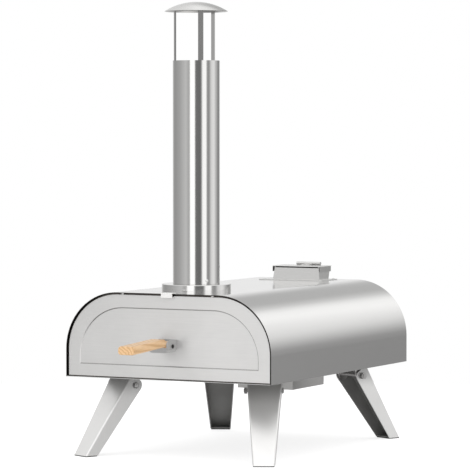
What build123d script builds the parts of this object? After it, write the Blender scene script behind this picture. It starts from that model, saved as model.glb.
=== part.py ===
from build123d import *
import os
from math import atan2, cos, degrees, hypot, radians, sin

# Wood pellet pizza oven: a double-walled arched housing on four folding legs, with a
# lift-off door, a lift-off chimney, a lidded pellet hopper and a burner under the rear.
#
# Frame: X to the right as seen from the front, Y to the back, Z up from the ground.
# The origin is on the ground, midway between the tips of the door grip and tray handle.
# Inside the functions, "back" is measured from the housing's front rim and "up" from
# the housing's underside, because that is how the sheet-metal parts are dimensioned.

# ---- driving dimensions (mm) ----------------------------------------------------------
WIDTH = 370.0  # housing, across
LENGTH = 525.0  # housing, front rim to rear rim
HEIGHT = 138.5  # housing, underside to roof
CORNER_R = 93.5  # the arch's two shoulders
BODY_Z = 130.5  # underside above the ground
SHEET = 1.0  # outer sheet metal
LINER = 0.8  # inner chamber sheet metal
FIT = 0.2  # slip fit between sheet-metal parts
RIVET_R = 1.6  # rivets in the roof, burner box and tray
BIG_RIVET_R = 2.0  # rivets in the door and the leg brackets
GRIP_REACH = 134.0  # door grip's tip, in front of the housing
TRAY_REACH = 25.0  # tray handle's end, behind the housing
FRONT = (GRIP_REACH - LENGTH - TRAY_REACH) / 2  # Y of the front rim

# Front: door, frame and mouth
DOOR_SET_BACK = 3.0  # door face behind the front rim
DOOR_GAP = 3.6  # door edge inside the housing's outside
DOOR_FOOT = 2.6  # door's lower edge above the underside
PANEL_HALF = 161.5  # pressed panel in the door
PANEL_FOOT = 21.5
PANEL_TOP = 114.6
PANEL_R = 80.0
PANEL_DEPTH = 1.5  # with walls sloping at 45 degrees
FRAME_BACK = 9.0  # front frame behind the rim
MOUTH_INSET = 19.0  # mouth inside the housing's outside
MOUTH_SILL = 19.0
HOOK_HALF = 10.0

# Handle on the door
GRIP_HALF = 14.6
CHEEK = 1.2  # cradle's sheet
CRADLE_HALF = 16.5
CRADLE_UP = (46.5, 66.0)
CRADLE_OUT = -30.0
CRADLE_R = 6.0  # its two lower corners
CRADLE_LIP = 54.5  # top of the front wall, just under the grip
HANDLE_UP = 56.0  # screws and rivets
HANDLE_SCREW = (-11.0, 1.8)  # back, radius
DOOR_RIVET_X = (-9.0, 9.0)

# Inner chamber
CHAMBER_INSET = 17.0
CHAMBER_FLOOR = 8.0
CHAMBER_BACK = 502.0
BLANKET_GAP = 3.4  # blanket inside the housing's outside
STONE = (305.0, 305.0, 10.0)
STONE_BACK = 22.0
RAIL_HEIGHT = 2.0

# Burner under the rear
BURNER_X = 52.0
BURNER_Y = (351.0, 472.0)
BURNER_DEPTH = 41.0
BURNER_EDGE_X = 62.0  # its riveted edges
TRAY_X = 49.0
TRAY_Y = (354.0, 471.5)
TRAY_TOP = -3.0
TRAY_PLATE = (472.3, 473.3)  # plate that closes the burner box's open end
GRATE_UP = -16.0
LOOP_HALF = 15.0  # tray handle
LOOP_SHEET = 1.6
LOOP_UP = -14.0
THROAT_X = 48.0
THROAT_Y = (356.0, 468.0)

# Hopper on the rear of the roof
HOPPER_TOP = 161.0
HOPPER_TOP_X = 42.0
HOPPER_TOP_Y = (473.8, 520.4)
HOPPER_X = 44.5
HOPPER_Y = (471.0, 508.0)
HOPPER_FLANGE_X = (-60.0, 60.0)
HOPPER_FLANGE_Y = (445.0, 514.0)
LID_X = 45.6
LID_Y = (471.6, 518.0)
LID_SKIRT = 9.0
HINGE_BACK = 521.9
HINGE_UP = 165.1
HINGE_HALF = 23.0
HINGE_PIN_R = 1.2
KNUCKLE_R = 2.4
KNUCKLE_HALF = 7.8  # the lid's knuckle, between the hopper's two

# Chimney
FLUE_BACK = 101.0
FLUE_R = 38.0
FLUE_FOOT = 150.1
FLUE_TOP = 510.4
SPIGOT_R = 36.9
SPIGOT_FLANGE_R = 50.0
SPIGOT_TOP = 183.5
COLLAR_R = 56.0
COLLAR_TOP = 150.0
CAP_R = 51.0
CAP_RIM = 590.0
CAP_APEX = 605.0
STRAP_AZIMUTHS = (39.0, 159.0, 279.0)
STRAP_HALF = 4.3
STRAP_LAP = 26.0  # of each strap's foot in the tube
CHIMNEY_SCREW = (156.0, 54.0, 1.5)  # up, degrees from the front to the right, radius

# Legs: a channel of folded sheet, splayed outwards, on a horizontal pivot
LEG_X = 126.9  # pivots, either side of the middle
LEG_BACK = (94.4, 427.6)  # pivots, behind the front rim
LEG_TURN = 25.5  # splay direction, away from straight ahead
LEG_SHEET = 1.5
PIVOT_DROP = 18.0  # pivot below the housing
PIVOT_R = 3.0
PIVOT_RUNNING_GAP = 0.08
LEG_SLOPE = 0.65  # outward run of the web for each mm of drop
EDGE_SLOPE = 0.758  # the same for the flanges' free edges
WEB_OUT = 19.6  # web's outside, outward of the pivot at its level
EDGE_IN = 15.26  # free edges, inward of the pivot at its level
LEG_HALF_TOP = 28.3
LEG_HALF_FOOT = 17.0
PAD = 1.6  # silicone foot pad
EAR_HALF = 24.0  # outsides of the bracket's ears
EAR_R = 10.0
BRACKET_RIVETS = (-12.0, 12.0)
BRACKET_RIVET_Y = 14.0
BOLT_HALF = 28.2  # from the middle of a leg to the outsides of its flanges

os.makedirs("parts", exist_ok=True)


# ---- helpers --------------------------------------------------------------------------
def save(piece, name):
    """Label a finished piece and write it."""
    piece.part.label = name
    export_step(piece.part, f"parts/{name}.step")


def point(x, back, up):
    """A point given from the housing's front rim and underside."""
    return (x, FRONT + back, BODY_Z + up)


def front_plane(back):
    """Upright plane across the oven: x to the right, y up from the underside."""
    return Plane(point(0, back, 0), x_dir=(1, 0, 0), z_dir=(0, -1, 0))


def side_plane(x):
    """Upright plane along the oven: x back from the front rim, y up."""
    return Plane(point(x, 0, 0), x_dir=(0, 1, 0), z_dir=(1, 0, 0))


def level_plane(up):
    """Level plane: x to the right, y back from the front rim."""
    return Plane(point(0, 0, up), x_dir=(1, 0, 0), z_dir=(0, 0, 1))


def slab(x, back, up, mode=Mode.ADD):
    """A block between pairs of limits."""
    middle = point(sum(x) / 2, sum(back) / 2, sum(up) / 2)
    with Locations(middle):
        Box(x[1] - x[0], back[1] - back[0], up[1] - up[0], mode=mode)


def drill(places, radius, depth=8.0):
    """Round holes along Z at the places, through whatever sheet lies there."""
    with Locations(*places):
        Cylinder(radius, depth, mode=Mode.SUBTRACT)


def arch(inset, foot):
    """Area under the housing's arch, set in from its outside, above a level foot."""
    half = WIDTH / 2 - inset
    crown = HEIGHT - inset
    radius = CORNER_R - inset
    return arched_area(half, foot, crown, radius)


def arched_area(half, foot, crown, radius):
    """Flat-topped arch: upright sides, two round shoulders and a level foot."""
    with BuildSketch() as area:
        with BuildLine():
            Line((half, foot), (half, crown - radius))
            shoulder = CenterArc((half - radius, crown - radius), radius, 0, 90)
            Line(shoulder @ 1, (0, crown))
            mirror(about=Plane.YZ)
            Line((-half, foot), (half, foot))
        make_face()
    return area.sketch


def fastener(head_r, head_h, shank_r, shank):
    """Domed fastener along +Z: the head stands on z = 0 and the shank goes down."""
    with BuildPart() as blank:
        with BuildSketch(Plane.XZ):
            with BuildLine():
                rim = Line((0, -shank), (shank_r, -shank))
                neck = Line(rim @ 1, (shank_r, 0))
                seat = Line(neck @ 1, (head_r, 0))
                edge = Line(seat @ 1, (head_r, head_h * 0.35))
                dome = head_h * 0.65
                sphere = (head_r**2 + dome**2) / (2 * dome)
                spread = degrees(atan2(head_r, sphere - dome))
                CenterArc((0, head_h - sphere), sphere, 90 - spread, spread)
                Line((0, head_h), (0, -shank))
            make_face()
        revolve(axis=Axis.Z)
    return blank.part


def strip(points, thickness, plane, half_width, side=Side.LEFT):
    """Folded strip of sheet: a path drawn on a plane, thickened and widened both ways."""
    with BuildPart() as folded:
        with BuildSketch(plane):
            with BuildLine():
                path = Polyline(*points)
                offset(path, amount=thickness, side=side, kind=Kind.INTERSECTION)
            make_face()
        extrude(amount=half_width, both=True)
    return folded.part


# ---- housing --------------------------------------------------------------------------
FLANGE = 14.0  # inward foot of the housing, which the bottom plate is screwed to
SCREW_R = 1.8
side_screws = [
    point(side * (WIDTH / 2 - 8), back, 0)
    for side in (-1, 1)
    for back in (40, 151, 262.5, 374, 485)
]
end_screws = [point(x, back, 0) for x in (-120, 0, 120) for back in (16, 509)]
leg_places = {
    "front_left": (-LEG_X, LEG_BACK[0], -LEG_TURN),
    "front_right": (LEG_X, LEG_BACK[0], LEG_TURN),
    "rear_left": (-LEG_X, LEG_BACK[1], 180 + LEG_TURN),
    "rear_right": (LEG_X, LEG_BACK[1], 180 - LEG_TURN),
}
leg_locations = {
    corner: Location(point(x, back, -PIVOT_DROP), (0, 0, turn))
    for corner, (x, back, turn) in leg_places.items()
}
burner_rivets_at = [point(x, back, -SHEET) for x in (-57, 57) for back in (360, 411, 462)]
hopper_corners = [point(x, back, HEIGHT) for x in (-53, 53) for back in (455, 509)]
spigot_ring = [
    (Location(point(0, FLUE_BACK, HEIGHT)) * Pos(*spot)).position
    for spot in ((43, 0), (-21.5, 37.2), (-21.5, -37.2))
]

with BuildPart() as outer_housing:
    with BuildSketch(front_plane(0)):
        add(arch(0, 0))
        add(arch(SHEET, 0), mode=Mode.SUBTRACT)
    extrude(amount=-LENGTH)
    for side in (-1, 1):
        wall = side * (WIDTH / 2 - SHEET / 2)
        inner = side * (WIDTH / 2 - FLANGE)
        slab(sorted((wall, inner)), (24, LENGTH - 24), (SHEET, 2 * SHEET))
    drill(side_screws, SCREW_R)
    drill([point(0, FLUE_BACK, HEIGHT)], SPIGOT_R + FIT)
    drill(hopper_corners + spigot_ring, RIVET_R)
    slab((-45, 45), (470.4, 508.8), (HEIGHT - 5, HEIGHT + 1), Mode.SUBTRACT)  # hopper
save(outer_housing, "outer_housing")

with BuildPart() as bottom_plate:
    half = WIDTH / 2 - SHEET - 0.1
    slab((-half, half), (0, LENGTH), (0, SHEET))
    slab((-THROAT_X - 1, THROAT_X + 1), (THROAT_Y[0] - 1, THROAT_Y[1] + 1), (-1, 2), Mode.SUBTRACT)
    drill(side_screws + end_screws, SCREW_R)
    for spot in leg_locations.values():
        seats = [spot * Pos(a, BRACKET_RIVET_Y, PIVOT_DROP) for a in BRACKET_RIVETS]
        drill([seat.position for seat in seats], BIG_RIVET_R)
    drill(burner_rivets_at, RIVET_R)
save(bottom_plate, "bottom_plate")


def end_frame(plate, flange_to, name, opening=None):
    """Arched end plate of the housing, with a flange along the arch and a screwed foot."""
    step = 1 if flange_to > plate else -1
    near = min(plate, plate + step * SHEET)
    far = near + SHEET
    with BuildPart() as frame:
        with BuildSketch(front_plane(plate)):
            add(arch(SHEET + FIT, SHEET))
            add(arch(2 * SHEET + FIT, SHEET), mode=Mode.SUBTRACT)
        extrude(amount=plate - flange_to)
        with BuildSketch(front_plane(near)):
            add(arch(SHEET + FIT, SHEET))
            if opening:
                add(opening, mode=Mode.SUBTRACT)
        extrude(amount=near - far)
        foot = sorted((plate + step * SHEET / 2, plate + step * 12.0))
        if opening is None:
            foot = (LENGTH - 24.0, near + SHEET / 2)
        half = WIDTH / 2 - SHEET - 6
        slab((-half, half), foot, (SHEET, 2 * SHEET))
        drill(end_screws, SCREW_R)
    save(frame, name)


end_frame(FRAME_BACK, 21.0, "front_frame", arch(MOUTH_INSET, MOUTH_SILL))
end_frame(515.0, 524.5, "rear_panel")

with BuildPart() as housing_screws:
    with Locations(*[Location(spot, (180, 0, 0)) for spot in side_screws + end_screws]):
        add(fastener(3.3, 1.8, SCREW_R, 4.0))
save(housing_screws, "housing_screws")

for side, name in ((-1, "rim_tab_left"), (1, "rim_tab_right")):
    with BuildPart() as rim_tab:
        low = HEIGHT - DOOR_GAP + FIT
        slab((side * 81 - 2, side * 81 + 2), (1.2, 8.0), (low, HEIGHT - SHEET))
    save(rim_tab, name)

# ---- inner chamber, insulation and stone -------------------------------------------------
chamber_front = FRAME_BACK + SHEET + FIT
with BuildPart() as inner_chamber:
    with BuildSketch(front_plane(chamber_front)):
        add(arch(CHAMBER_INSET, CHAMBER_FLOOR))
        add(arch(CHAMBER_INSET + LINER, CHAMBER_FLOOR + LINER), mode=Mode.SUBTRACT)
    extrude(amount=chamber_front - CHAMBER_BACK)
    slab((-THROAT_X, THROAT_X), THROAT_Y, (-0.5, CHAMBER_FLOOR + LINER / 2))
    shaft_x = (-THROAT_X + LINER, THROAT_X - LINER)
    shaft_y = (THROAT_Y[0] + LINER, THROAT_Y[1] - LINER)
    slab(shaft_x, shaft_y, (-2, CHAMBER_FLOOR + 2), Mode.SUBTRACT)
    drill([point(0, FLUE_BACK, HEIGHT - CHAMBER_INSET)], SPIGOT_R + FIT)
    slab((-45.5, 45.5), (461, 500), (100, HEIGHT), Mode.SUBTRACT)  # hopper
save(inner_chamber, "inner_chamber")

with BuildPart() as chamber_rear_wall:
    with BuildSketch(front_plane(CHAMBER_BACK - 1.8)):
        add(arch(CHAMBER_INSET + LINER + 0.1, CHAMBER_FLOOR + LINER + 0.1))
    extrude(amount=-SHEET)
save(chamber_rear_wall, "chamber_rear_wall")

with BuildPart() as insulation_blanket:
    with BuildSketch(front_plane(24)):
        add(arch(BLANKET_GAP, 4.6))
        add(arch(CHAMBER_INSET - 0.6, 0), mode=Mode.SUBTRACT)
    extrude(amount=24 - CHAMBER_BACK)
    drill([point(0, FLUE_BACK, HEIGHT)], FLUE_R + 1, 60)
    slab((-47, 47), (458, CHAMBER_BACK + 1), (110, HEIGHT), Mode.SUBTRACT)
save(insulation_blanket, "insulation_blanket")

with BuildPart() as rear_insulation:
    with BuildSketch(front_plane(CHAMBER_BACK + 1)):
        add(arch(BLANKET_GAP, 6.5))
    extrude(amount=-11)
    slab((-47, 47), (CHAMBER_BACK, 511), (110, HEIGHT), Mode.SUBTRACT)
save(rear_insulation, "rear_insulation")

floor_top = CHAMBER_FLOOR + LINER
for side, name in ((-1, "stone_rail_left"), (1, "stone_rail_right")):
    with BuildPart() as stone_rail:
        span = sorted((side * 120, side * 135))
        slab(span, (STONE_BACK, STONE_BACK + STONE[1]), (floor_top, floor_top + RAIL_HEIGHT))
    save(stone_rail, name)

with BuildPart() as pizza_stone:
    stone_foot = floor_top + RAIL_HEIGHT
    middle = point(0, STONE_BACK + STONE[1] / 2, stone_foot + STONE[2] / 2)
    with Locations(middle):
        Box(*STONE)
    fillet(pizza_stone.edges().filter_by(Axis.Z), 6)
    chamfer(pizza_stone.faces().sort_by(Axis.Z)[-1].edges(), 1)
save(pizza_stone, "pizza_stone")

with BuildPart() as flame_guard:
    guard = [(340, floor_top), (330, floor_top), (330, 46), (336, 54)]
    add(strip(guard, SHEET, side_plane(0), 150, Side.RIGHT))
    with BuildSketch(front_plane(320)):
        with Locations((0, 30)):
            with GridLocations(30, 0, 9, 1):
                SlotOverall(20, 6, rotation=90)
    extrude(amount=-14, mode=Mode.SUBTRACT)
save(flame_guard, "flame_guard")

# ---- burner --------------------------------------------------------------------------------
with BuildPart() as burner_box:
    slab((-BURNER_X, BURNER_X), BURNER_Y, (-BURNER_DEPTH, 0))
    hollow_x = (-BURNER_X + SHEET, BURNER_X - SHEET)
    hollow_y = (BURNER_Y[0] + SHEET, BURNER_Y[1] + 1)
    slab(hollow_x, hollow_y, (-BURNER_DEPTH + SHEET, 1), Mode.SUBTRACT)
    for side in (-1, 1):
        edge = sorted((side * (BURNER_X - SHEET / 2), side * BURNER_EDGE_X))
        slab(edge, BURNER_Y, (-SHEET, 0))
    front_edge = (BURNER_Y[0] - 8, BURNER_Y[0] + SHEET / 2)
    slab((-BURNER_EDGE_X, BURNER_EDGE_X), front_edge, (-SHEET, 0))
    drill(burner_rivets_at, RIVET_R)
save(burner_box, "burner_box")

with BuildPart() as burner_rivets:
    with Locations(*[Location(spot, (180, 0, 0)) for spot in burner_rivets_at]):
        add(fastener(3.0, 1.2, RIVET_R, 2.8))
save(burner_rivets, "burner_rivets")

handle_feet = [(side * (LOOP_HALF + 6), LOOP_UP) for side in (-1, 1)]
with BuildPart() as fuel_tray:
    slab((-TRAY_X, TRAY_X), TRAY_Y, (-BURNER_DEPTH + 1.6, TRAY_TOP))
    inside_x = (-TRAY_X + SHEET, TRAY_X - SHEET)
    inside_y = (TRAY_Y[0] + SHEET, TRAY_Y[1] - SHEET)
    slab(inside_x, inside_y, (-BURNER_DEPTH + 2.6, 1), Mode.SUBTRACT)
    for side in (-1, 1):
        ledge = sorted((side * (TRAY_X - SHEET / 2), side * (TRAY_X - SHEET - 4)))
        slab(ledge, TRAY_Y, (GRATE_UP - SHEET, GRATE_UP))
    slab((-BURNER_X, BURNER_X), TRAY_PLATE, (-BURNER_DEPTH, -1.4))
    slab((-40, 40), (471, 472.6), (-34, -8))  # weld between the tray and its plate
    with BuildSketch(front_plane(480)):
        with Locations((0, -31)):
            with GridLocations(14, 0, 6, 1):
                SlotOverall(9, 4, rotation=90)
    extrude(amount=12, mode=Mode.SUBTRACT)
    with BuildSketch(front_plane(480)):
        with Locations(*handle_feet):
            Circle(RIVET_R)
    extrude(amount=12, mode=Mode.SUBTRACT)
save(fuel_tray, "fuel_tray")

with BuildPart() as burn_grate:
    slab((-TRAY_X + 1.3, TRAY_X - 1.3), (355.3, 470.2), (GRATE_UP, GRATE_UP + 1.2))
    with BuildSketch(level_plane(GRATE_UP - 3)):
        with Locations((0, 412.75)):
            with GridLocations(0, 12.5, 1, 9):
                SlotOverall(86, 5.4)
    extrude(amount=8, mode=Mode.SUBTRACT)
save(burn_grate, "burn_grate")

with BuildPart() as tray_handle:
    end, foot = LENGTH + TRAY_REACH, TRAY_PLATE[1] + LOOP_SHEET
    left = [(-LOOP_HALF - 12, foot), (-LOOP_HALF, foot), (-LOOP_HALF, end)]
    loop = left + [(-x, back) for x, back in reversed(left)]
    add(strip(loop, LOOP_SHEET, level_plane(LOOP_UP), 6, Side.RIGHT))
    with BuildSketch(front_plane(480)):
        with Locations(*handle_feet):
            Circle(RIVET_R)
    extrude(amount=12, mode=Mode.SUBTRACT)
save(tray_handle, "tray_handle")

with BuildPart() as tray_rivets:
    back = TRAY_PLATE[1] + LOOP_SHEET
    places = [Location(point(x, back, up), (-90, 0, 0)) for x, up in handle_feet]
    with Locations(*places):
        add(fastener(2.8, 1.2, RIVET_R, 4.5))
save(tray_rivets, "tray_rivets")

# ---- hopper ------------------------------------------------------------------------------------
with BuildPart() as hopper_flange:
    slab(HOPPER_FLANGE_X, HOPPER_FLANGE_Y, (HEIGHT, HEIGHT + SHEET))
    slab((-HOPPER_X - 0.1, HOPPER_X + 0.1), (470.6, 508.6), (HEIGHT - 1, HEIGHT + 2), Mode.SUBTRACT)
    drill(hopper_corners, RIVET_R)
    corners = hopper_flange.edges().filter_by(Axis.Z).sort_by(Axis.X)
    fillet(corners[:2] + corners[-2:], 4)
save(hopper_flange, "hopper_flange")

with BuildPart() as hopper_rivets:
    places = [Location((spot[0], spot[1], spot[2] + SHEET)) for spot in hopper_corners]
    with Locations(*places):
        add(fastener(2.8, 1.1, RIVET_R, 4.0))
save(hopper_rivets, "hopper_rivets")

with BuildPart() as hopper_chute:
    with BuildSketch(side_plane(0)):
        front, rear = HOPPER_Y
        Polygon((425, 45), (456, 45), (rear, HEIGHT), (front, HEIGHT), align=None)
    extrude(amount=HOPPER_X, both=True)
    levels = (HEIGHT, HOPPER_X, HOPPER_Y), (HOPPER_TOP, HOPPER_TOP_X, HOPPER_TOP_Y)
    for up, half, (front, rear) in levels:
        with BuildSketch(level_plane(up)):
            Polygon((-half, front), (half, front), (half, rear), (-half, rear), align=None)
    loft()
    ends = hopper_chute.faces().sort_by(Axis.Z)
    offset(amount=-SHEET, openings=[ends[0], ends[-1]], kind=Kind.INTERSECTION)
    slot_half = HOPPER_TOP_X - SHEET
    slab((-slot_half, slot_half), (472, 475.6), (HOPPER_TOP - 2, HOPPER_TOP + 1), Mode.SUBTRACT)
save(hopper_chute, "hopper_chute")

lid_foot = HOPPER_TOP + FIT
lid_top = lid_foot + SHEET
with BuildPart() as hopper_lid:
    slab((-LID_X, LID_X), LID_Y, (lid_foot, lid_top))
    for side in (-1, 1):
        skirt = sorted((side * (LID_X - LINER), side * LID_X))
        slab(skirt, (LID_Y[0], LID_Y[1] - 2.5), (lid_foot - LID_SKIRT, lid_foot + SHEET / 2))
    fillet(hopper_lid.faces().sort_by(Axis.Z)[-1].edges(), 0.7)
save(hopper_lid, "hopper_lid")


def hinge_knuckles(spans, bore, leaf, leaf_half):
    """One half of a butt hinge: its knuckles along X and its leaf, a closed side outline."""
    with BuildPart() as half_hinge:
        for low, high in spans:
            with BuildSketch(side_plane(low)):
                with Locations((HINGE_BACK, HINGE_UP)):
                    Circle(KNUCKLE_R)
                add(leaf)
            extrude(amount=high - low)
        with BuildSketch(side_plane(-leaf_half)):
            add(leaf)
            with Locations((HINGE_BACK, HINGE_UP)):
                Circle(KNUCKLE_R + 0.5, mode=Mode.SUBTRACT)
        extrude(amount=2 * leaf_half)
        for low, high in spans:
            with BuildSketch(side_plane(low - 0.1)):
                with Locations((HINGE_BACK, HINGE_UP)):
                    Circle(bore)
            extrude(amount=high - low + 0.2, mode=Mode.SUBTRACT)
    return half_hinge


with BuildSketch() as lid_leaf_side:
    with Locations((HINGE_BACK, HINGE_UP)):
        leaf_foot = lid_top - HINGE_UP
        Polygon(
            (-16.5, leaf_foot),
            (-1.9, leaf_foot),
            (-0.5, -2.2),
            (-1.5, -1.2),
            (-16.5, leaf_foot + 1),
            align=None,
        )
lid_spans = [(-KNUCKLE_HALF, KNUCKLE_HALF)]
lid_leaf = hinge_knuckles(lid_spans, HINGE_PIN_R + 0.06, lid_leaf_side.sketch, KNUCKLE_HALF)
save(lid_leaf, "hinge_leaf_lid")

with BuildSketch() as hopper_leaf_side:
    with Locations((HINGE_BACK, HINGE_UP)):
        Polygon((-7.2, -15), (-1.3, -4.3), (0.1, -2), (2.1, -1), (-6.2, -15.8), align=None)
knuckle_near = KNUCKLE_HALF + FIT
hopper_spans = [(-HINGE_HALF, -knuckle_near), (knuckle_near, HINGE_HALF)]
hopper_leaf = hinge_knuckles(hopper_spans, HINGE_PIN_R, hopper_leaf_side.sketch, HINGE_HALF)
save(hopper_leaf, "hinge_leaf_hopper")

with BuildPart() as hinge_pin:
    with BuildSketch(side_plane(-HINGE_HALF)):
        with Locations((HINGE_BACK, HINGE_UP)):
            Circle(HINGE_PIN_R)
    extrude(amount=2 * HINGE_HALF)
save(hinge_pin, "hinge_pin")

# ---- chimney ----------------------------------------------------------------------------------
flue_axis = Axis(point(0, FLUE_BACK, 0), (0, 0, 1))
flue_side = Plane(point(0, FLUE_BACK, 0), x_dir=(1, 0, 0), z_dir=(0, -1, 0))


def turned(outline):
    """Turn a half outline (radius, height above the underside) about the flue's axis."""
    with BuildPart() as ring:
        with BuildSketch(flue_side):
            with BuildLine():
                Polyline(*outline, close=True)
            make_face()
        revolve(axis=flue_axis)
    return ring


spigot_foot = HEIGHT - CHAMBER_INSET - 0.5
chimney_spigot = turned(
    [
        (SPIGOT_R - LINER, spigot_foot),
        (SPIGOT_R, spigot_foot),
        (SPIGOT_R, HEIGHT),
        (SPIGOT_FLANGE_R, HEIGHT),
        (SPIGOT_FLANGE_R, HEIGHT + LINER),
        (SPIGOT_R, HEIGHT + LINER),
        (SPIGOT_R, SPIGOT_TOP),
        (SPIGOT_R - LINER, SPIGOT_TOP),
    ]
)
with chimney_spigot:
    drill(spigot_ring, RIVET_R)
save(chimney_spigot, "chimney_spigot")

with BuildPart() as spigot_rivets:
    with Locations(*[Location((spot.X, spot.Y, spot.Z + LINER)) for spot in spigot_ring]):
        add(fastener(2.8, 1.1, RIVET_R, 3.6))
save(spigot_rivets, "spigot_rivets")

chimney_collar = turned(
    [
        (SPIGOT_R + 0.1, COLLAR_TOP - SHEET),
        (COLLAR_R - SHEET, COLLAR_TOP - SHEET),
        (COLLAR_R - SHEET, HEIGHT),
        (COLLAR_R, HEIGHT),
        (COLLAR_R, COLLAR_TOP),
        (SPIGOT_R + 0.1, COLLAR_TOP),
    ]
)
with chimney_collar:
    top_rims = chimney_collar.edges().filter_by(GeomType.CIRCLE).group_by(Axis.Z)[-1]
    fillet(top_rims.sort_by(SortBy.LENGTH)[-1], 0.9)
save(chimney_collar, "chimney_collar")

screw_up, screw_azimuth, screw_r = CHIMNEY_SCREW
screw_turn = Location(point(0, FLUE_BACK, screw_up), (0, 0, screw_azimuth - 90))
screw_place = screw_turn * Location((FLUE_R, 0, 0), (0, 90, 0))
chimney_tube = turned(
    [
        (FLUE_R - LINER, FLUE_FOOT),
        (FLUE_R, FLUE_FOOT),
        (FLUE_R, FLUE_TOP),
        (FLUE_R - LINER, FLUE_TOP),
    ]
)
with chimney_tube:
    with Locations(screw_place):
        Cylinder(screw_r, 10, mode=Mode.SUBTRACT)
save(chimney_tube, "chimney_tube")

with BuildPart() as chimney_screw:
    with Locations(screw_place):
        add(fastener(2.6, 1.5, screw_r, LINER + FIT))
save(chimney_screw, "chimney_screw")

rise = CAP_APEX - CAP_RIM
cap_sphere = (CAP_R**2 + rise**2) / (2 * rise)
with BuildPart() as chimney_cap:
    with BuildSketch(flue_side):
        with BuildLine():
            half_angle = degrees(atan2(CAP_R, cap_sphere - rise))
            centre = (0, CAP_APEX - cap_sphere)
            outside = CenterArc(centre, cap_sphere, 90 - half_angle, half_angle)
            inside = CenterArc(centre, cap_sphere - SHEET, 90 - half_angle, half_angle)
            Line(outside @ 0, inside @ 0)
            Line(outside @ 1, inside @ 1)
        make_face()
    revolve(axis=flue_axis)
save(chimney_cap, "chimney_cap")

strap_out = FLUE_R - LINER - 0.4
dome_middle = CAP_APEX - cap_sphere
strap_top = dome_middle + (cap_sphere**2 - strap_out**2) ** 0.5 - SHEET - 1.6
for number, azimuth in enumerate(STRAP_AZIMUTHS, 1):
    out_x, out_y = sin(radians(azimuth)), -cos(radians(azimuth))
    radial = Plane(point(0, FLUE_BACK, 0), x_dir=(out_x, out_y, 0), z_dir=(out_y, -out_x, 0))
    with BuildPart() as cap_strap:
        strap_foot, tip = FLUE_TOP - STRAP_LAP, (strap_out - 13, strap_top + 4.3)
        bend = [(strap_out, strap_foot), (strap_out, strap_top), tip]
        add(strip(bend, SHEET, radial, STRAP_HALF, Side.LEFT))
    save(cap_strap, f"cap_strap_{number}")

# ---- door -------------------------------------------------------------------------------------
face = DOOR_SET_BACK
door_rivets_at = [(x, HANDLE_UP) for x in DOOR_RIVET_X]
with BuildPart() as door_plate:
    with BuildSketch(front_plane(face)):
        add(arch(DOOR_GAP, DOOR_FOOT))
    extrude(amount=-SHEET)
    with BuildSketch(front_plane(face)):
        add(arch(DOOR_GAP, DOOR_FOOT))
        add(arch(DOOR_GAP + SHEET, DOOR_FOOT + SHEET), mode=Mode.SUBTRACT)
    extrude(amount=-5)
    wider = (2**0.5 - 1) * SHEET
    with BuildSketch(front_plane(face + SHEET)):
        add(arched_area(PANEL_HALF + wider, PANEL_FOOT - wider, PANEL_TOP + wider, PANEL_R + wider))
    extrude(amount=-PANEL_DEPTH, taper=45)
    with BuildSketch(front_plane(face)):
        add(arched_area(PANEL_HALF, PANEL_FOOT, PANEL_TOP, PANEL_R))
    extrude(amount=-PANEL_DEPTH, taper=45, mode=Mode.SUBTRACT)
    with BuildSketch(front_plane(0)):
        with Locations(*door_rivets_at):
            Circle(BIG_RIVET_R)
    extrude(amount=-12, mode=Mode.SUBTRACT)
save(door_plate, "door_plate")

with BuildPart() as door_hook:
    over = HEIGHT + SHEET + 0.3
    foot = HEIGHT - 6.5
    hook = [(face, foot), (-1.3, foot), (-1.3, over), (13, over)]
    add(strip(hook, SHEET, side_plane(0), HOOK_HALF, Side.RIGHT))
save(door_hook, "door_hook")

# Handle: a U-shaped steel cradle on the pressed panel, with the wooden grip screwed between
# its cheeks.
panel_face = face + PANEL_DEPTH
handle_screw_back, handle_screw_r = HANDLE_SCREW


def cradle_section(inset):
    """Open-topped outline of the cradle across the door, set in from its outside."""
    half, foot = CRADLE_HALF - inset, CRADLE_UP[0] + inset
    top = CRADLE_UP[1] + 10 * inset
    with BuildSketch() as section:
        with Locations((0, (foot + top) / 2)):
            Rectangle(2 * half, top - foot)
        fillet(section.vertices().group_by(Axis.Y)[0], CRADLE_R - inset)
    return section.sketch


with BuildPart() as handle_bracket:
    with BuildSketch(front_plane(CRADLE_OUT)):
        add(cradle_section(0))
    extrude(amount=CRADLE_OUT - panel_face)
    with BuildSketch(front_plane(CRADLE_OUT + CHEEK)):
        add(cradle_section(CHEEK))
    extrude(amount=CRADLE_OUT + 2 * CHEEK - panel_face, mode=Mode.SUBTRACT)
    gap = CRADLE_HALF - CHEEK
    slab((-gap, gap), (CRADLE_OUT - 1, CRADLE_OUT + 2), (CRADLE_LIP, 70), Mode.SUBTRACT)
    across = handle_bracket.edges().filter_by(Axis.X)
    tips = across.filter_by(lambda e: e.center().Y < FRONT + CRADLE_OUT + 1)
    fillet(tips.filter_by(lambda e: e.center().Z > BODY_Z + 60), 8)
    with BuildSketch(side_plane(-30)):
        with Locations((handle_screw_back, HANDLE_UP)):
            Circle(handle_screw_r)
    extrude(amount=60, mode=Mode.SUBTRACT)
    with BuildSketch(front_plane(0)):
        with Locations(*door_rivets_at):
            Circle(BIG_RIVET_R)
    extrude(amount=-12, mode=Mode.SUBTRACT)
save(handle_bracket, "handle_bracket")

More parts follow.
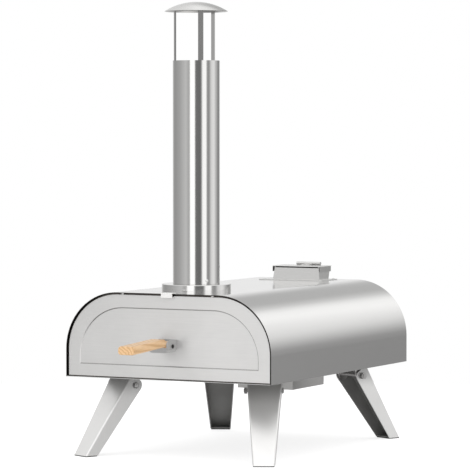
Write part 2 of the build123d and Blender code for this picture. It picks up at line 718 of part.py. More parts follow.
neck = CRADLE_OUT + 1  # the grip is full height up to the cradle's front wall
with BuildPart() as handle_grip:
    with BuildSketch(side_plane(-GRIP_HALF)):
        Polygon(
            (-4, 64),
            (neck, 64),
            (neck, 68.3),
            (-GRIP_REACH, 63.3),
            (-GRIP_REACH, 50),
            (neck, 55.5),
            (neck + 2, 51),
            (-4, 51),
            align=None,
        )
    extrude(amount=2 * GRIP_HALF)
    long_edges = handle_grip.edges().filter_by(lambda e: e.length > 100)
    chamfer(long_edges, 3)
    with BuildSketch(side_plane(-30)):
        with Locations((handle_screw_back, HANDLE_UP)):
            Circle(handle_screw_r)
    extrude(amount=60, mode=Mode.SUBTRACT)
save(handle_grip, "handle_grip")

with BuildPart() as handle_screws:
    for side in (-1, 1):
        outside = point(side * CRADLE_HALF, handle_screw_back, HANDLE_UP)
        with Locations(Location(outside, (0, side * 90, 0))):
            add(fastener(3.4, 1.8, handle_screw_r, 13))
save(handle_screws, "handle_screws")

with BuildPart() as door_rivets:
    for x, up in door_rivets_at:
        with Locations(Location(point(x, panel_face - CHEEK, up), (90, 0, 0))):
            add(fastener(3.2, 1.2, BIG_RIVET_R, CHEEK + SHEET + 1.0))
save(door_rivets, "door_rivets")

# ---- legs -------------------------------------------------------------------------------------
# One leg is drawn about its pivot, splaying towards -Y, then set at each corner.
ground = PIVOT_DROP - BODY_Z
lean = hypot(1, LEG_SLOPE)
web_plane = Plane((0, -WEB_OUT, 0), x_dir=(1, 0, 0), z_dir=(0, -1 / lean, LEG_SLOPE / lean))
pivot_side = Plane((0, 0, 0), x_dir=(0, -1, 0), z_dir=(-1, 0, 0))  # x outwards, y up
stop = PIVOT_DROP - 1.7  # web's upper edge, which stops against the bracket


def web_out(up):
    """How far the web's outside is from the pivot, at a height above it."""
    return WEB_OUT - LEG_SLOPE * up


def edge_out(up):
    """The same for the flanges' free edges."""
    return -EDGE_IN - EDGE_SLOPE * up


def web_outline(narrower):
    """The tapered web, drawn on its own plane and narrowed on each side."""
    top, foot = PIVOT_DROP * lean, ground * lean - 10
    slope = (LEG_HALF_TOP - LEG_HALF_FOOT) / (BODY_Z * lean)
    half_top = LEG_HALF_TOP - narrower
    half_foot = LEG_HALF_FOOT - 10 * slope - narrower
    upper, lower = [(-half_top, top), (half_top, top)], [(half_foot, foot), (-half_foot, foot)]
    return Polygon(*upper, *lower, align=None)


with BuildPart() as leg_blank:
    with BuildSketch(web_plane):
        web_outline(0)
    extrude(amount=-60)
    web_face = leg_blank.faces().sort_by(Axis((0, 0, 0), tuple(web_plane.z_dir)))[-1]
    fillet(web_face.edges().filter_by(lambda e: abs(e.tangent_at(0.5).X) < 0.5), 2.5)
    with BuildSketch(web_plane.offset(-LEG_SHEET)):
        web_outline(LEG_SHEET)
    extrude(amount=-60, mode=Mode.SUBTRACT)
    with BuildSketch(pivot_side):
        end_r = EDGE_IN / hypot(1, EDGE_SLOPE)
        touch = (-end_r / hypot(1, EDGE_SLOPE), -end_r * EDGE_SLOPE / hypot(1, EDGE_SLOPE))
        Circle(end_r)
        foot = ground + PAD
        web_top, web_foot = (web_out(stop), stop), (web_out(foot), foot)
        Polygon(web_top, (0, end_r), touch, (edge_out(foot), foot), web_foot, align=None)
    extrude(amount=40, both=True, mode=Mode.INTERSECT)
    with BuildSketch(Plane.XY.offset(foot)):
        half = LEG_HALF_FOOT - LEG_SHEET / 2
        near, far = -edge_out(foot) - 2, -web_out(foot) + 1.5
        Polygon((-half, near), (half, near), (half, far), (-half, far), align=None)
    extrude(amount=LEG_SHEET)
    Cylinder(PIVOT_R + PIVOT_RUNNING_GAP, 80, rotation=(0, 90, 0), mode=Mode.SUBTRACT)

with BuildPart() as pad_blank:
    with BuildSketch(Plane.XY.offset(ground)):
        half = LEG_HALF_FOOT - 0.3
        near, far = -edge_out(foot) - 0.6, -web_out(foot) + 0.4
        Polygon((-half, near), (half, near), (half, far), (-half, far), align=None)
    extrude(amount=PAD)

with BuildPart() as bracket_blank:
    with BuildSketch(pivot_side):
        Circle(EAR_R)
        Polygon((-13, PIVOT_DROP), (5.5, PIVOT_DROP), (9.8, 2), (-9.8, -2), align=None)
    extrude(amount=EAR_HALF, both=True)
    inner = EAR_HALF - LEG_SHEET
    with Locations((0, 0, -LEG_SHEET)):
        Box(2 * inner, 80, 2 * PIVOT_DROP, mode=Mode.SUBTRACT)
    with Locations((0, 4, PIVOT_DROP - LEG_SHEET / 2)):
        Box(2 * EAR_HALF, 36, LEG_SHEET)
    drill([(a, BRACKET_RIVET_Y, PIVOT_DROP) for a in BRACKET_RIVETS], BIG_RIVET_R)
    Cylinder(PIVOT_R, 80, rotation=(0, 90, 0), mode=Mode.SUBTRACT)

for corner, spot in leg_locations.items():
    for blank, name in ((leg_blank, "leg"), (pad_blank, "foot_pad"), (bracket_blank, "leg_bracket")):
        with BuildPart() as placed:
            with Locations(spot):
                add(blank.part)
        save(placed, f"{name}_{corner}")

with BuildPart() as pivot_bolts:
    for spot in leg_locations.values():
        with Locations(spot * Location((BOLT_HALF, 0, 0), (0, 90, 0))):
            add(fastener(5.2, 3.0, PIVOT_R, 2 * BOLT_HALF + 5.5))
save(pivot_bolts, "leg_pivot_bolts")

with BuildPart() as pivot_nuts:
    for spot in leg_locations.values():
        with BuildSketch(Plane(spot) * Plane((-BOLT_HALF, 0, 0), x_dir=(0, 1, 0), z_dir=(-1, 0, 0))):
            RegularPolygon(5.0, 6, major_radius=False)
            Circle(PIVOT_R, mode=Mode.SUBTRACT)
        extrude(amount=4.5)
save(pivot_nuts, "leg_pivot_nuts")

with BuildPart() as bracket_rivets:
    for spot in leg_locations.values():
        for a in BRACKET_RIVETS:
            seat = (a, BRACKET_RIVET_Y, PIVOT_DROP - LEG_SHEET)
            with Locations(spot * Location(seat, (180, 0, 0))):
                add(fastener(3.4, 1.3, BIG_RIVET_R, LEG_SHEET + SHEET + 1.0))
save(bracket_rivets, "bracket_rivets")
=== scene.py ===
import math

import bmesh
import bpy
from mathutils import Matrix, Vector


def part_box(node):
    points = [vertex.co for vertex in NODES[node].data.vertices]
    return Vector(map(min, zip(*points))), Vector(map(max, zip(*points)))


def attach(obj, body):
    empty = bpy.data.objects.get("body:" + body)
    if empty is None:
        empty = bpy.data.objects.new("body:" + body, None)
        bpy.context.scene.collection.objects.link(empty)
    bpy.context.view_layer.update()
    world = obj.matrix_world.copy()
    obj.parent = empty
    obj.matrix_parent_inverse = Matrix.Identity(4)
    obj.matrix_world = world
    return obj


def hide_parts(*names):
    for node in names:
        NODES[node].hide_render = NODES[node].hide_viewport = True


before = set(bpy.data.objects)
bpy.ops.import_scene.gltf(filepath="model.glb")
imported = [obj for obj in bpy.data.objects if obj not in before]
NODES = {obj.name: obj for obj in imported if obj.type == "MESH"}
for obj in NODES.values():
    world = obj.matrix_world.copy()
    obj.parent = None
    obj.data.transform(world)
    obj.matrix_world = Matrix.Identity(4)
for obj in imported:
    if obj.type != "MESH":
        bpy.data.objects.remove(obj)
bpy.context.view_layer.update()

SCENE = bpy.context.scene
MM = 0.001
NOISE_LOW, NOISE_HIGH = 0.3, 0.7  # where the values of a noise mostly lie
FLOOR_RADIUS = 1.3
CAMERA_PLACE = (2.2522, -4.3874, 0.5474)
CAMERA_AIM = (-0.4538, 0.8902, -0.0389)
CAMERA_LENS = 229.1  # millimetres, on a sensor 36 mm wide


# ---- node helpers ---------------------------------------------------------------------
class Tree:
    """A thin wrapper that adds and links shader nodes."""

    def __init__(self, tree):
        self.tree = tree
        self.tree.nodes.clear()

    def node(self, kind, inputs=None, **settings):
        node = self.tree.nodes.new(kind)
        for name, value in settings.items():
            setattr(node, name, value)
        for name, value in (inputs or {}).items():
            socket = node.inputs[name]
            if isinstance(value, bpy.types.NodeSocket):
                self.tree.links.new(value, socket)
            else:
                socket.default_value = value
        return node

    def math(self, operation, a, b=0.0, clamp=False):
        return self.node("ShaderNodeMath", {0: a, 1: b}, operation=operation, use_clamp=clamp).outputs[0]

    def ramp(self, factor, stops):
        """Colour ramp; each stop is (place, grey) or (place, (r, g, b))."""
        node = self.node("ShaderNodeValToRGB", {"Fac": factor})
        ramp = node.color_ramp
        for index, (place, colour) in enumerate(stops):
            if index < 2:
                element = ramp.elements[index]
                element.position = place
            else:
                element = ramp.elements.new(place)
            if not isinstance(colour, tuple):
                colour = (colour, colour, colour)
            element.color = (*colour, 1)
        return node.outputs["Color"]

    def tones(self, noise, low, high):
        """Colour that goes from low to high with a noise."""
        return self.ramp(noise, [(NOISE_LOW, low), (NOISE_HIGH, high)])

    def smooth(self, value, low, high):
        """0 at low, 1 at high, eased."""
        node = self.node(
            "ShaderNodeMapRange",
            {"Value": value, "From Min": low, "From Max": high},
            interpolation_type="SMOOTHSTEP",
        )
        return node.outputs["Result"]

    def mix(self, factor, a, b, blend="MIX"):
        node = self.node("ShaderNodeMix", data_type="RGBA", blend_type=blend)
        for index, value in ((0, factor), (6, a), (7, b)):
            if isinstance(value, bpy.types.NodeSocket):
                self.tree.links.new(value, node.inputs[index])
            else:
                node.inputs[index].default_value = value
        return node.outputs[2]

    def place(self):
        """Object coordinates in metres."""
        return self.node("ShaderNodeTexCoord").outputs["Object"]

    def scaled(self, scale):
        """Object coordinates in metres, times a factor on each axis."""
        return self.vector("MULTIPLY", self.place(), scale).outputs[0]

    def vector(self, operation, a, b):
        return self.node("ShaderNodeVectorMath", {0: a, 1: b}, operation=operation)

    def split(self, vector):
        """Outputs X, Y and Z of a vector."""
        return self.node("ShaderNodeSeparateXYZ", {"Vector": vector}).outputs

    def noise(self, vector, scale, detail=3.0, roughness=0.55):
        node = self.node(
            "ShaderNodeTexNoise",
            {"Vector": vector, "Scale": scale, "Detail": detail, "Roughness": roughness},
        )
        return node.outputs["Fac"]

    def span(self, value, low, high):
        """Value that goes from low to high with a noise."""
        node = self.node(
            "ShaderNodeMapRange",
            {"Value": value, "From Min": NOISE_LOW, "From Max": NOISE_HIGH, "To Min": low, "To Max": high},
        )
        return node.outputs["Result"]


def material(name):
    made = bpy.data.materials.new(name)
    made.use_nodes = True
    tree = Tree(made.node_tree)
    shader = tree.node("ShaderNodeBsdfPrincipled")
    tree.node("ShaderNodeOutputMaterial", {"Surface": shader.outputs["BSDF"]})
    return made, tree, shader


def feed(tree, shader, **sockets):
    """Link or set sockets of the shader, by the short names below."""
    names = {"color": "Base Color", "rough": "Roughness", "normal": "Normal", "tangent": "Tangent"}
    for key, value in sockets.items():
        socket = shader.inputs[names.get(key, key)]
        if isinstance(value, bpy.types.NodeSocket):
            tree.tree.links.new(value, socket)
        else:
            socket.default_value = value


def bump(tree, height, strength, distance):
    """Normal pushed by height, where 1 is a distance in metres."""
    node = tree.node("ShaderNodeBump", {"Height": height, "Strength": strength, "Distance": distance})
    return node.outputs["Normal"]


# ---- metals ---------------------------------------------------------------------------
STEEL = (0.76, 0.755, 0.745)
SOOT_AND_SHADE = (0.035, 0.032, 0.03), (0.07, 0.062, 0.055)  # near black: soot on the flue's inner faces, painted shade on the other faces masked with it
LEG_SHADE = (0.3, 0.297, 0.29), (0.4, 0.397, 0.39)  # painted shade on the legs' inner faces

# Scales of the noises on brushed steel, per metre, and how much they change.
FINE_SCRATCHES, WIDE_SCRATCHES, SMEARS = 1800, 420, 14
FINE_SHARE, WIDE_SHARE = 0.7, 0.3
SMEAR_SHADE, SMEAR_ROUGH = 0.03, 0.012
SOOT_AND_SHADE_ROUGH = 0.25

# How scratches stretch: a small factor on an axis runs them along it.
ACROSS, ACROSS_LONG = (0.03, 1, 1), (0.02, 1, 1)
BACKWARDS, BACKWARDS_SHORT = (1, 0.02, 1), (1, 0.05, 1)
UPWARDS, UPWARDS_LONG = (1, 1, 0.03), (1, 1, 0.01)
EVEN = (1, 1, 1)


def brushed(name, grain, colour, rough, streak=0.02, relief=0.00002, metal=1.0, aniso=0.0, tangent=None,
            soot_and_shade_mask=None, soot_and_shade_tones=SOOT_AND_SHADE, painted_shade=None):
    """Brushed stainless steel.

    rough is the span of roughness, streak how much the colour varies, and relief how deep the
    scratches are. The mask argument picks the faces that the film tones paint dark: soot inside the
    flue, painted shade on every other part. The ramp argument is (axis, dark place, light place,
    strength): painted shade, darker towards one end, with random smears.
    """
    made, tree, shader = material(name)
    fine = tree.noise(tree.scaled(grain), FINE_SCRATCHES, 4)
    wide = tree.noise(tree.scaled(grain), WIDE_SCRATCHES, 3)
    cloud = tree.noise(tree.scaled(EVEN), SMEARS, 4)
    dark = tuple(c * (1 - streak) for c in colour)
    light = tuple(min(1, c * (1 + streak)) for c in colour)
    fine_part = tree.math("MULTIPLY", fine, FINE_SHARE)
    scratches = tree.math("ADD", fine_part, tree.math("MULTIPLY", wide, WIDE_SHARE))
    base = tree.tones(scratches, dark, light)
    # painted shade: the colour is darkened towards one end along the axis, with random smears
    if painted_shade:
        axis, dark_place, light_place, strength = painted_shade
        place = tree.split(tree.scaled(EVEN))[axis]
        shade_and_smear = tree.math("MULTIPLY", tree.smooth(place, light_place, dark_place), strength)
        shade_and_smear = tree.math("ADD", shade_and_smear, tree.span(cloud, -SMEAR_SHADE, SMEAR_SHADE), clamp=True)
        base = tree.mix(shade_and_smear, base, (0, 0, 0, 1))
    satin = tree.math("ADD", tree.span(fine, *rough), tree.span(cloud, -SMEAR_ROUGH, SMEAR_ROUGH))
    # dark tones on the masked faces: soot inside the flue, painted shade on every other part
    if soot_and_shade_mask:
        darkened_faces = soot_and_shade_mask(tree)
        base = tree.mix(darkened_faces, base, tree.tones(cloud, *soot_and_shade_tones))
        satin = tree.math("ADD", satin, tree.math("MULTIPLY", darkened_faces, SOOT_AND_SHADE_ROUGH))
    feed(tree, shader, color=base, rough=satin, normal=bump(tree, fine, 0.25, relief))
    shader.inputs["Metallic"].default_value = metal
    if aniso:
        shader.inputs["Anisotropic"].default_value = aniso
        axis = tree.node("ShaderNodeCombineXYZ", {0: tangent[0], 1: tangent[1], 2: tangent[2]})
        feed(tree, shader, tangent=axis.outputs[0])
    return made


def inside(centre, rim=False):
    """Mask of the faces that look towards centre, or towards a line where one value is None.

    rim adds the edge that faces the front.
    """

    def mask(tree):
        around = tree.node("ShaderNodeNewGeometry").outputs
        keep = tuple(0.0 if c is None else 1.0 for c in centre)
        middle = tuple(0.0 if c is None else c for c in centre)
        away = tree.vector("SUBTRACT", around["Position"], middle)
        away = tree.vector("MULTIPLY", away.outputs[0], keep)
        facing = tree.vector("DOT_PRODUCT", away.outputs[0], around["True Normal"])
        inner = tree.smooth(facing.outputs["Value"], -4 * MM, -12 * MM)
        if not rim:
            return inner
        ahead = tree.split(around["True Normal"])["Y"]
        return tree.math("MAXIMUM", inner, tree.smooth(ahead, -0.6, -0.9))

    return mask


def not_front(tree):
    """Mask of the door's faces that don't look to the front.

    The faces it masks get painted shade. The pressed panel's left wall is masked by half.
    """
    normal = tree.split(tree.node("ShaderNodeNewGeometry").outputs["True Normal"])
    wall = tree.math("MULTIPLY", tree.smooth(normal["Y"], -0.85, -0.72), tree.smooth(normal["X"], 0.66, 0.4))
    wall = tree.math("MULTIPLY", wall, 0.55)
    return tree.math("MAXIMUM", wall, tree.smooth(normal["Y"], -0.6, -0.3))


def centre(box):
    return (box[0] + box[1]) / 2


hopper_axis = (*centre(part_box("hopper_chute")).xy, None)
flue_axis = (*centre(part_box("chimney_tube")).xy, None)
arch_axis = (0, None, 0.2)

# Shell: the inner faces and the edge that faces the front get the near-black tones, painted shade for the
# gap round the door.
shell_steel = brushed("shell_steel", BACKWARDS, STEEL, (0.11, 0.15), relief=0.000006,
                      soot_and_shade_mask=inside(arch_axis, rim=True))
# Door: painted shade on the faces that don't look to the front, and a painted shade ramp that darkens it
# towards the left.
door_steel = brushed("door_steel", ACROSS_LONG, (0.89, 0.883, 0.872), (0.34, 0.4), streak=0.03, metal=0.8,
                     aniso=0.5, tangent=(0, 0, 1), soot_and_shade_mask=not_front, painted_shade=("X", -0.2, 0.16, 0.14))
# Front frame: dark grey, painted shade that darkens the gap round the door.
gap_shade_steel = brushed("gap_shade_steel", BACKWARDS_SHORT, (0.2, 0.18, 0.165), (0.36, 0.46), streak=0.2)
# Handle cradle: darker grey than the sheet steel, painted shade under the grip.
shaded_cradle_steel = brushed("shaded_cradle_steel", ACROSS, (0.58, 0.575, 0.57), (0.26, 0.34))
cap_steel = brushed("cap_steel", EVEN, (0.69, 0.685, 0.675), (0.18, 0.24), streak=0.03)
hook_steel = brushed("hook_steel", UPWARDS, (0.97, 0.965, 0.955), (0.38, 0.44), metal=0.5)
# Leg pivot bolts and nuts: dark grey, painted shade round the leg pivots.
shaded_bolt_steel = brushed("shaded_bolt_steel", EVEN, (0.46, 0.455, 0.45), (0.28, 0.36), streak=0.08)
sheet_steel = brushed("sheet_steel", ACROSS, STEEL, (0.2, 0.26))
# Hopper: its inner faces get the near-black tones, painted shade inside the box.
hopper_steel = brushed("hopper_steel", ACROSS, (0.68, 0.675, 0.665), (0.18, 0.24), soot_and_shade_mask=inside(hopper_axis))
tube_steel = brushed("tube_steel", UPWARDS_LONG, STEEL, (0.08, 0.12), streak=0.01)
flue_steel = brushed("flue_steel", UPWARDS_LONG, STEEL, (0.08, 0.12), streak=0.01, soot_and_shade_mask=inside(flue_axis))
burner_steel = brushed("burner_steel", ACROSS, (0.7, 0.69, 0.68), (0.3, 0.36))
screw_steel = brushed("screw_steel", EVEN, (0.78, 0.78, 0.77), (0.16, 0.24))


def black_oxide():
    """Blackened screws and irons, rubbed to grey in specks."""
    made, tree, shader = material("black_oxide")
    wear = tree.noise(tree.place(), 900, 4)
    feed(tree, shader, color=tree.ramp(wear, [(0.35, (0.012, 0.012, 0.013)), (0.75, (0.06, 0.058, 0.055))]),
         rough=tree.span(wear, 0.3, 0.5), normal=bump(tree, wear, 0.3, 0.00005))
    shader.inputs["Metallic"].default_value = 0.6
    return made


def chamber_metal():
    """Mill-finish liner, tinted straw and blue where the flame licks it."""
    made, tree, shader = material("chamber_metal")
    place = tree.place()
    cloud = tree.noise(place, 11, 5)
    heat = tree.math("ADD", tree.smooth(tree.split(place)["Y"], -0.05, 0.26), tree.span(cloud, -0.22, 0.22))
    tint = tree.ramp(heat, [(0, (0.62, 0.61, 0.59)), (0.35, (0.6, 0.52, 0.38)), (0.6, (0.42, 0.33, 0.3)),
                            (0.8, (0.28, 0.29, 0.34)), (1, (0.2, 0.19, 0.18))])
    grain = tree.noise(tree.scaled((1, 0.04, 1)), 900, 3)
    soot = tree.noise(place, 60, 6)
    shade = tree.mix(0.25, tint, tree.tones(soot, 0.2, 0.95), "MULTIPLY")
    feed(tree, shader, color=shade, rough=tree.span(soot, 0.34, 0.5), normal=bump(tree, grain, 0.2, 0.00003))
    shader.inputs["Metallic"].default_value = 1.0
    return made


def cordierite():
    """Sanded pale stone with dark and buff grains and pinholes."""
    made, tree, shader = material("cordierite")
    place = tree.place()
    cloud = tree.noise(place, 22, 5)
    grain = tree.noise(place, 900, 3)
    base = tree.tones(cloud, (0.66, 0.56, 0.42), (0.8, 0.72, 0.58))
    speck = tree.ramp(grain, [(0.36, (0.5, 0.42, 0.32)), (0.46, 1), (0.62, 1), (0.7, (1.0, 0.97, 0.9))])
    cells = tree.node("ShaderNodeTexVoronoi", {"Vector": place, "Scale": 420.0}).outputs["Distance"]
    relief = tree.math("ADD", tree.math("MULTIPLY", grain, 0.4), tree.smooth(cells, 0.06, 0.2))
    feed(tree, shader, color=tree.mix(0.8, base, speck, "MULTIPLY"), rough=tree.span(grain, 0.86, 0.97),
         normal=bump(tree, relief, 0.35, 0.0002))
    return made


def ash_wood():
    """Oiled ash: pale, with warm growth rings stretched along the grip and open pores."""
    made, tree, shader = material("ash_wood")
    along = tree.scaled((1, 0.07, 1))
    bend = tree.noise(along, 40, 3)
    swirl = tree.node(
        "ShaderNodeCombineXYZ",
        {0: tree.math("MULTIPLY", bend, 12 * MM), 1: 0.0, 2: tree.math("MULTIPLY", bend, 16 * MM)},
    )
    bent = tree.vector("ADD", along, swirl.outputs[0]).outputs[0]
    rings = tree.node(
        "ShaderNodeTexWave",
        {"Vector": bent, "Scale": 90.0, "Distortion": 2.2, "Detail": 3.0, "Detail Scale": 1.4},
        wave_type="BANDS",
        bands_direction="DIAGONAL",
    ).outputs["Fac"]
    pores = tree.noise(tree.scaled((1, 0.03, 1)), 1500, 2)
    base = tree.ramp(rings, [(0, (0.79, 0.525, 0.285)), (0.55, (0.73, 0.465, 0.235)),
                             (1, (0.6, 0.36, 0.17))])
    pitted = tree.mix(0.3, base, tree.ramp(pores, [(0.34, (0.55, 0.36, 0.2)), (0.46, 1)]), "MULTIPLY")
    relief = tree.math("ADD", tree.math("MULTIPLY", pores, 0.7), tree.math("MULTIPLY", rings, -0.3))
    feed(tree, shader, color=pitted, rough=tree.span(rings, 0.42, 0.55),
         normal=bump(tree, relief, 0.3, 0.0001))
    shader.inputs["Coat Weight"].default_value = 0.3
    shader.inputs["Coat Roughness"].default_value = 0.2
    return made


def matt_silicone():
    """Black foot pads, greyed by dust."""
    made, tree, shader = material("matt_silicone")
    place = tree.place()
    fine = tree.noise(place, 1600, 3)
    dust = tree.noise(place, 90, 4)
    feed(tree, shader, color=tree.tones(dust, (0.02, 0.02, 0.021), (0.05, 0.049, 0.047)),
         rough=tree.span(fine, 0.6, 0.75), normal=bump(tree, fine, 0.3, 0.00008))
    return made


def fibre_blanket():
    """Off-white ceramic fibre with lying strands."""
    made, tree, shader = material("fibre_blanket")
    strands = tree.noise(tree.scaled((1, 0.25, 0.6)), 700, 5, 0.7)
    base = tree.tones(tree.noise(tree.place(), 30, 4), (0.74, 0.72, 0.66), (0.9, 0.89, 0.86))
    feed(tree, shader, color=tree.mix(0.3, base, tree.tones(strands, 0.6, 1.0), "MULTIPLY"),
         rough=tree.span(strands, 0.85, 1.0), normal=bump(tree, strands, 0.6, 0.0006))
    shader.inputs["Sheen Weight"].default_value = 0.2
    return made


by_slot = {
    "steel": sheet_steel,
    "chimney_steel": tube_steel,
    "chamber_steel": chamber_metal(),
    "burner_steel": burner_steel,
    "fastener_steel": screw_steel,
    "black_steel": black_oxide(),
    "stone": cordierite(),
    "grip_wood": ash_wood(),
    "silicone": matt_silicone(),
    "insulation": fibre_blanket(),
}
by_node = {
    "outer_housing": shell_steel,
    "front_frame": gap_shade_steel,
    "door_plate": door_steel,
    "door_hook": hook_steel,
    "handle_bracket": shaded_cradle_steel,
    "chimney_tube": flue_steel,
    "chimney_cap": cap_steel,
    "hopper_chute": hopper_steel,
    "leg_pivot_bolts": shaded_bolt_steel,
    "leg_pivot_nuts": shaded_bolt_steel,
}
for corner in ("front_left", "front_right", "rear_left", "rear_right"):
    pivot = tuple(centre(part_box("leg_bracket_" + corner)))
    # Legs: painted shade on the inner faces, and a painted shade ramp that darkens them towards the top,
    # under the body.
    by_node["leg_" + corner] = brushed("leg_steel_" + corner, UPWARDS, (0.84, 0.835, 0.825), (0.32, 0.38),
                                       metal=0.85, soot_and_shade_mask=inside(pivot), soot_and_shade_tones=LEG_SHADE,
                                       painted_shade=("Z", 0.125, 0.09, 0.5))
for name, node in NODES.items():
    for slot in node.material_slots:
        slot.material = by_node.get(name, by_slot[slot.material.name])


# ---- pieces ---------------------------------------------------------------------------
def new_piece(name, shape, body, slot, *nodes):
    """Finish a bmesh as a smooth piece that rides on a body and stands for CAD nodes."""
    bmesh.ops.recalc_face_normals(shape, faces=shape.faces)
    mesh = bpy.data.meshes.new(name)
    shape.to_mesh(mesh)
    shape.free()
    for face in mesh.polygons:
        face.use_smooth = True
    mesh.materials.append(by_slot[slot])
    made = bpy.data.objects.new(name, mesh)
    SCENE.collection.objects.link(made)
    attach(made, body)
    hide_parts(*nodes)
    return made


def octagon(half, foot, top, cut=3 * MM, ease=0.9 * MM):
    """Outline of a bar with cut corners, as (x, z) points, each arris eased through three points."""
    corners = [(-half + cut, foot), (half - cut, foot), (half, foot + cut), (half, top - cut),
               (half - cut, top), (-half + cut, top), (-half, top - cut), (-half, foot + cut)]
    outline = []
    for i, corner in enumerate(corners):
        here = Vector(corner)
        before = (Vector(corners[i - 1]) - here).normalized() * ease
        after = (Vector(corners[(i + 1) % len(corners)]) - here).normalized() * ease
        outline += [here + before, here + (before + after) / 4, here + after]
    return outline


def wooden_grip():
    """Octagonal bar, lofted through stations along Y, with softened arrises and an eased tip."""
    low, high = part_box("handle_grip")
    half = high.x
    tip, root = low.y, high.y
    step = tip + 105 * MM  # the bar ends here, and a thinner neck goes on into the cradle
    tip_foot, tip_top = low.z, high.z - 5 * MM
    step_foot, step_top = low.z + 5.5 * MM, high.z
    neck_foot, neck_top = low.z + 1.2 * MM, low.z + 13.8 * MM

    def bar(y, inset=0.0):
        """Station of the bar, as (y, half width, foot, top); it rises from the tip to the step."""
        part = (y - tip) / (step - tip)
        foot = tip_foot + (step_foot - tip_foot) * part + inset
        top = tip_top + (step_top - tip_top) * part - inset
        return y, half - inset, foot, top

    stations = [bar(tip, 1.6 * MM), bar(tip + 0.5 * MM, 0.7 * MM), bar(tip + 1.6 * MM)]
    stations += [bar(tip + part * (step - tip)) for part in (0.12, 0.3, 0.5, 0.7, 0.88)]
    stations += [
        bar(step - 1.2 * MM),
        bar(step, 0.8 * MM),
        (step + 1.4 * MM, half - 0.6 * MM, neck_foot, neck_top),
        (step + 4 * MM, half - 0.4 * MM, neck_foot, neck_top),
        (root - 1 * MM, half - 0.4 * MM, neck_foot, neck_top),
        (root, half - 1.2 * MM, neck_foot + MM, neck_top - MM),
    ]
    shape = bmesh.new()
    rings = [
        [shape.verts.new((x, y, z)) for x, z in octagon(wide, foot, top)]
        for y, wide, foot, top in stations
    ]
    for ring, following in zip(rings, rings[1:]):
        for i in range(len(ring)):
            j = (i + 1) % len(ring)
            shape.faces.new((ring[i], ring[j], following[j], following[i]))
    shape.faces.new(rings[0])
    shape.faces.new(rings[-1][::-1])
    made = new_piece("wooden_grip", shape, "door", "grip_wood", "handle_grip")
    made.data.set_sharp_from_angle(angle=math.radians(50))
    even = made.modifiers.new("even", "WEIGHTED_NORMAL")
    even.keep_sharp = True
    made.visible_glossy = False  # the photograph's door mirrors no wood


wooden_grip()


# ---- studio -----------------------------------------------------------------------------
def floor():
    """Pale disc that glows a little, so that it stays near white and keeps a soft shadow."""
    mesh = bpy.data.meshes.new("floor")
    shape = bmesh.new()
    bmesh.ops.create_circle(shape, cap_ends=True, segments=96, radius=FLOOR_RADIUS)
    shape.to_mesh(mesh)
    shape.free()
    made = bpy.data.objects.new("floor", mesh)
    SCENE.collection.objects.link(made)
    paint, tree, shader = material("floor_paint")
    feed(tree, shader, color=tree.tones(tree.noise(tree.place(), 300, 3), 0.5, 0.52), rough=0.9)
    shader.inputs["Specular IOR Level"].default_value = 0.0
    shader.inputs["Emission Color"].default_value = (1, 1, 1, 1)
    shader.inputs["Emission Strength"].default_value = 0.72
    mesh.materials.append(paint)
    made.visible_glossy = False


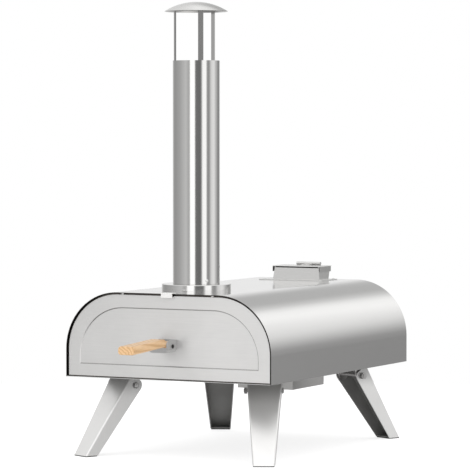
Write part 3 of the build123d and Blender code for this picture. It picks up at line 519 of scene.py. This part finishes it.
def studio():
    """White to the camera; the steel mirrors a ring of grey and black cards, by azimuth and height."""
    world = bpy.data.worlds.new("studio")
    SCENE.world = world
    world.use_nodes = True
    tree = Tree(world.node_tree)
    strength = 2.0
    way = tree.split(tree.node("ShaderNodeTexCoord").outputs["Generated"])
    turn = tree.math("ARCTAN2", way["X"], tree.math("MULTIPLY", way["Y"], -1.0))
    turn = tree.math("ADD", tree.math("DIVIDE", turn, 2 * math.pi), 0.5)
    height = tree.math("MULTIPLY", tree.math("ARCSINE", way["Z"]), 180 / math.pi)

    def around(stops):
        """Brightness by azimuth in degrees, 0 at the front and positive to the right.

        It is divided by strength, which the background multiplies by, because a ramp stops at 1.
        """
        return tree.ramp(turn, [((azimuth + 180) / 360, grey / strength) for azimuth, grey in stops])

    level = around([
        (-180, 0.5), (-155, 0.9), (-140, 0.85), (-118, 0.42), (-100, 0.36), (-60, 0.46), (-24, 0.64),
        (-12, 0.5), (-5, 0.55), (-2, 1.35), (19, 1.35), (23, 0.3), (27, 0.19), (49, 0.17), (54, 0.5),
        (59, 1.2), (76, 1.25), (82, 0.4), (92, 0.33), (98, 0.5), (104, 0.78), (120, 0.95), (130, 0.85),
        (138, 0.62), (146, 0.44), (152, 0.33), (170, 0.24), (179, 0.4),
    ])
    raised = around([
        (-180, 0.75), (-173, 0.54), (-160, 0.52), (-150, 0.8), (-130, 0.9), (-90, 0.85), (-20, 1.2),
        (20, 1.4), (40, 1.2), (120, 1.0), (152, 0.86), (160, 1.0), (168, 1.18), (174, 1.12), (180, 0.8),
    ])
    early = around([(-180, 0), (138, 0), (148, 0.8), (156, 0.6), (164, 0.2), (176, 0)])
    rise = tree.math("ADD", height, tree.math("MULTIPLY", early, 20))  # the cards end lower there
    lifted = tree.mix(tree.smooth(rise, 2, 21), level, raised)
    ceiling = around([
        (-180, 1.1), (-153, 1.2), (-120, 0.85), (-95, 0.75), (-50, 0.9), (0, 1.35), (40, 1.4),
        (90, 1.0), (150, 0.9), (180, 1.05),
    ])
    vault = tree.mix(tree.smooth(height, 32, 52), lifted, ceiling)
    under = tree.mix(tree.smooth(height, -28, -50), vault, (0.13, 0.13, 0.13, 1))
    cards = tree.node("ShaderNodeBackground", {"Color": under, "Strength": strength})
    plain = tree.node("ShaderNodeBackground", {"Color": (1, 1, 1, 1), "Strength": 1.0})
    seen = tree.node("ShaderNodeLightPath").outputs["Is Camera Ray"]
    both = tree.node("ShaderNodeMixShader", {0: seen, 1: cards.outputs[0], 2: plain.outputs[0]})
    tree.node("ShaderNodeOutputWorld", {"Surface": both.outputs[0]})


def lamp(name, place, target, size, power):
    """Soft rectangular light that neither the camera nor the steel sees."""
    light = bpy.data.lights.new(name, "AREA")
    light.shape = "RECTANGLE"
    light.size, light.size_y = size
    light.energy = power
    made = bpy.data.objects.new(name, light)
    made.location = place
    made.rotation_euler = (Vector(target) - Vector(place)).to_track_quat("-Z", "Y").to_euler()
    SCENE.collection.objects.link(made)
    made.visible_camera = False
    made.visible_glossy = False


def camera():
    """The photograph's viewpoint, solved from the oven's outline."""
    data = bpy.data.cameras.new("camera")
    data.sensor_width = 36.0
    data.lens = CAMERA_LENS
    data.clip_end = 50.0
    made = bpy.data.objects.new("camera", data)
    made.location = CAMERA_PLACE
    made.rotation_euler = Vector(CAMERA_AIM).to_track_quat("-Z", "Y").to_euler()
    SCENE.collection.objects.link(made)
    SCENE.camera = made


SCENE.view_settings.view_transform = "Standard"
floor()
studio()
lamp("soft_key", (-1.6, -2.2, 2.4), (0, 0, 0.25), (1.6, 1.6), 18)
camera()
